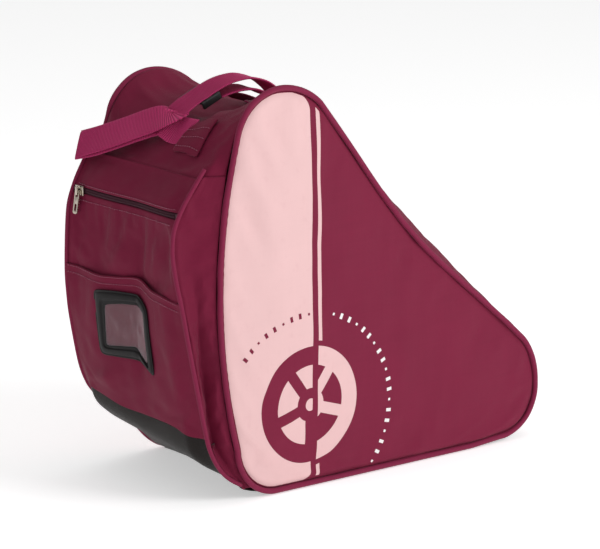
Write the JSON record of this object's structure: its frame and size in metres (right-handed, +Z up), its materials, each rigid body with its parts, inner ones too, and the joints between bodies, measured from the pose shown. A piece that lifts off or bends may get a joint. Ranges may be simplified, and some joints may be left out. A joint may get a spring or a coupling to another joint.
{
  "type": "skate boot bag",
  "caption": "Wedge-shaped soft bag for a pair of roller skates, with piped side panels, a zipped heel pocket, a slip pocket with a name window and a webbing carrying strap.",
  "frame": {"origin": "on the floor plane, under the middle of the bag's length and width, in the middle of its flat base", "axes": "+X from the heel face with its pocket to the toe, +Y across the bag from the printed front side panel to the rear one, +Z up"},
  "size_m": [0.4414, 0.2, 0.386],
  "materials": {
    "panel_cloth": "printed polyester canvas, pink and burgundy, satin",
    "gusset_cloth": "coated polyester cloth, satin",
    "piping": "polyester bias tape over a round cord",
    "foam": "closed-cell foam sheet, matt",
    "lining": "thin polyester lining, matt",
    "zip_teeth": "nylon coil",
    "zip_tape": "woven polyester tape",
    "zip_metal": "nickel plated, slightly warm",
    "webbing": "ribbed polypropylene webbing",
    "black_plastic": "moulded acetal, satin",
    "black_vinyl": "embossed vinyl, semi-gloss",
    "clear_vinyl": "clear vinyl film, glossy",
    "coated_base": "coated mesh cloth, semi-gloss",
    "board": "rigid polyethylene sheet"
  },
  "bodies": {
    "bag": {"base_board": "board", "base_panel": "coated_base", "front_heel_gusset": "gusset_cloth", "front_heel_piping": "piping", "front_panel_foam": "foam", "front_panel_lining": "lining", "front_panel_piping": "piping", "front_side_panel": "panel_cloth", "heel_face": "gusset_cloth", "heel_strap_tab": "webbing", "heel_yoke": "gusset_cloth", "id_window_film": "clear_vinyl", "id_window_rim": "black_vinyl", "pocket_zip_coil": "zip_teeth", "pocket_zip_end_stop": "zip_teeth", "pocket_zip_lower_tape": "zip_tape", "pocket_zip_start_stop": "zip_teeth", "pocket_zip_upper_tape": "zip_tape", "rear_heel_gusset": "gusset_cloth", "rear_heel_piping": "piping", "rear_panel_foam": "foam", "rear_panel_lining": "lining", "rear_panel_piping": "piping", "rear_side_panel": "panel_cloth", "slip_pocket_hem": "gusset_cloth", "slip_pocket_panel": "gusset_cloth", "slope_strap_tab": "webbing", "toe_panel": "gusset_cloth", "top_panel": "gusset_cloth", "zip_pocket_lining": "lining"},
    "front_flap": {"front_flap": "gusset_cloth", "front_main_zip_tape": "zip_tape", "front_main_zip_coil": "zip_teeth"},
    "rear_flap": {"rear_flap": "gusset_cloth", "rear_main_zip_tape": "zip_tape", "rear_main_zip_coil": "zip_teeth"},
    "main_zip_slider": {"main_zip_slider": "zip_metal"},
    "main_zip_puller": {"main_zip_puller": "zip_metal"},
    "pocket_zip_slider": {"pocket_zip_slider": "zip_metal"},
    "pocket_zip_puller": {"pocket_zip_puller": "zip_metal"},
    "strap": {"strap_adjuster_run": "webbing", "strap_return_run": "webbing", "strap_heel_run": "webbing"},
    "strap_adjuster": {"strap_adjuster": "black_plastic"}
  },
  "joints": [
    {"name": "front_flap_open", "type": "hinge", "parent": "bag", "child": "front_flap", "pos_m": [0.08417, -0.094, 0.22605], "axis": [0.7098, 0, -0.7044], "range_deg": [0, 62]},
    {"name": "rear_flap_open", "type": "hinge", "parent": "bag", "child": "rear_flap", "pos_m": [0.08417, 0.094, 0.22605], "axis": [-0.7098, 0, 0.7044], "range_deg": [0, 63]},
    {"name": "main_zip_run", "type": "slide", "parent": "front_flap", "child": "main_zip_slider", "axis": [0.7098, 0, -0.7044], "range_m": [0, 0.286]},
    {"name": "main_puller_swing", "type": "hinge", "parent": "main_zip_slider", "child": "main_zip_puller", "pos_m": [-0.0138, 0, 0.32749], "axis": [0, -1, 0], "range_deg": [0, 140]},
    {"name": "pocket_zip_run", "type": "slide", "parent": "bag", "child": "pocket_zip_slider", "axis": [0, -1, 0], "range_m": [0, 0.136]},
    {"name": "pocket_puller_swing", "type": "hinge", "parent": "pocket_zip_slider", "child": "pocket_zip_puller", "pos_m": [-0.2144, 0.068, 0.2745], "axis": [0, 1, 0], "range_deg": [0, 140]},
    {"name": "strap_lift", "type": "hinge", "parent": "bag", "child": "strap", "pos_m": [-0.158, -0.024, 0.3505], "axis": [0.9979, 0.0644, 0.0121], "range_deg": [0, 60]},
    {"name": "adjuster_run", "type": "slide", "parent": "strap", "child": "strap_adjuster", "axis": [0.921, 0, 0.3896], "range_m": [-0.012, 0.012]}
  ],
  "couplings": [
    {"joint": "rear_flap_open", "follows": "front_flap_open", "ratio": 1}
  ]
}
